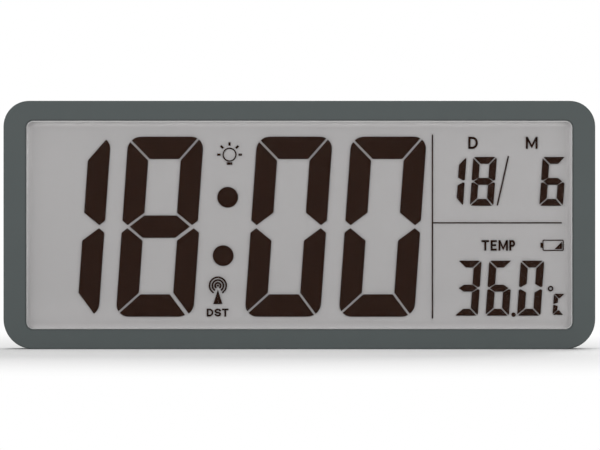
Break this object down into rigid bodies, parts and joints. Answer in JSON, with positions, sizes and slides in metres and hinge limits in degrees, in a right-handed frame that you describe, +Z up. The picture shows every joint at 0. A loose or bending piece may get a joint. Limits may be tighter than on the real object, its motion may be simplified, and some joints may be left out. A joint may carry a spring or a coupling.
{
  "type": "thermometer clock",
  "caption": "Wide battery clock with a large reflective display of time, date and temperature, keys behind, a light key on top and a fold-down stand.",
  "frame": {"origin": "middle of the flat base that the clock stands on, at half its depth", "axes": "+X to the right seen from the front, along the longest side; the display faces -Y; +Z up"},
  "size_m": [0.37, 0.03, 0.1553],
  "materials": {
    "shell_plastic": "fine moulded texture",
    "key_plastic": "satin",
    "window_clear": "clear, hard coated",
    "black_foam": "matte foam",
    "clear_film": "anti-glare film",
    "clear_glass": "clear float glass",
    "seal_resin": "printed resin",
    "reflective_film": "grey reflective polariser",
    "dark_segment": "liquid crystal, dark when driven",
    "guide_acrylic": "clear acrylic with printed dots",
    "white_film": "white diffusing film",
    "green_board": "solder mask",
    "lamp_white": "lamp housing",
    "holder_plastic": "natural moulded plastic",
    "zebra_rubber": "layered silicone rubber",
    "black_resin": "cast resin",
    "tin_metal": "plated",
    "capacitor_sleeve": "shrunk sleeve",
    "switch_black": "moulded",
    "ferrite_grey": "sintered",
    "copper_wire": "enamelled copper",
    "brass_disc": "rolled brass",
    "cell_jacket": "printed sleeve",
    "nickel_wire": "nickel plated",
    "steel_pin": "drawn wire",
    "pad_rubber": "soft rubber",
    "black_screw": "black oxide"
  },
  "bodies": {
    "case": {"front_shell": "shell_plastic", "rear_cover": "shell_plastic", "display_window": "window_clear", "window_gasket": "black_foam", "front_polariser": "clear_film", "lcd_front_glass": "clear_glass", "lcd_seal": "seal_resin", "lcd_rear_glass": "clear_glass", "rear_polariser": "reflective_film", "time_digits": "dark_segment", "time_colon": "dark_segment", "date_digits": "dark_segment", "temperature_digits": "dark_segment", "display_rules": "dark_segment", "display_symbols": "dark_segment", "light_guide": "guide_acrylic", "reflector_film": "white_film", "led_strip_board": "green_board", "backlight_leds": "lamp_white", "display_holder": "holder_plastic", "zebra_strips": "zebra_rubber", "main_board": "green_board", "receiver_board": "green_board", "light_key_board": "green_board", "controller_blob": "black_resin", "clock_crystal": "tin_metal", "capacitors": "capacitor_sleeve", "chip_resistors": "black_resin", "key_switches": "switch_black", "light_key_switch": "switch_black", "ferrite_rod": "ferrite_grey", "antenna_coil": "copper_wire", "antenna_holders": "holder_plastic", "buzzer_disc": "brass_disc", "thermistor": "black_resin", "aa_cells": "cell_jacket", "battery_springs": "nickel_wire", "battery_contacts": "nickel_wire", "stand_hinge_pin": "steel_pin", "case_screws": "black_screw", "holder_screws": "tin_metal", "board_screws": "tin_metal"},
    "stand": {"table_stand": "shell_plastic", "stand_pad": "pad_rubber"},
    "door": {"battery_door": "shell_plastic"},
    "light_key": {"light_button": "key_plastic"},
    "set_key": {"set_button": "key_plastic"},
    "up_key": {"up_button": "key_plastic"},
    "down_key": {"down_button": "key_plastic"},
    "alarm_key": {"alarm_button": "key_plastic"},
    "wave_key": {"wave_button": "key_plastic"},
    "reset_key": {"reset_button": "key_plastic"}
  },
  "joints": [
    {"name": "stand_fold", "type": "hinge", "parent": "case", "child": "stand", "pos_m": [0, 0.0116, 0.0032], "axis": [-1, 0, 0], "range_deg": [0, 90]},
    {"name": "door_hinge", "type": "hinge", "parent": "case", "child": "door", "pos_m": [0, 0.0141, 0.0785], "axis": [-1, 0, 0], "range_deg": [0, 70]},
    {"name": "light_press", "type": "slide", "parent": "case", "child": "light_key", "axis": [0, 0, -1], "range_m": [0, 0.0008], "stiffness_N_per_m": 1800},
    {"name": "set_press", "type": "slide", "parent": "case", "child": "set_key", "axis": [0, -1, 0], "range_m": [0, 0.0008], "stiffness_N_per_m": 1500},
    {"name": "up_press", "type": "slide", "parent": "case", "child": "up_key", "axis": [0, -1, 0], "range_m": [0, 0.0008], "stiffness_N_per_m": 1500},
    {"name": "down_press", "type": "slide", "parent": "case", "child": "down_key", "axis": [0, -1, 0], "range_m": [0, 0.0008], "stiffness_N_per_m": 1500},
    {"name": "alarm_press", "type": "slide", "parent": "case", "child": "alarm_key", "axis": [0, -1, 0], "range_m": [0, 0.0008], "stiffness_N_per_m": 1500},
    {"name": "wave_press", "type": "slide", "parent": "case", "child": "wave_key", "axis": [0, -1, 0], "range_m": [0, 0.0008], "stiffness_N_per_m": 1500},
    {"name": "reset_press", "type": "slide", "parent": "case", "child": "reset_key", "axis": [0, -1, 0], "range_m": [0, 0.0008], "stiffness_N_per_m": 1500}
  ]
}
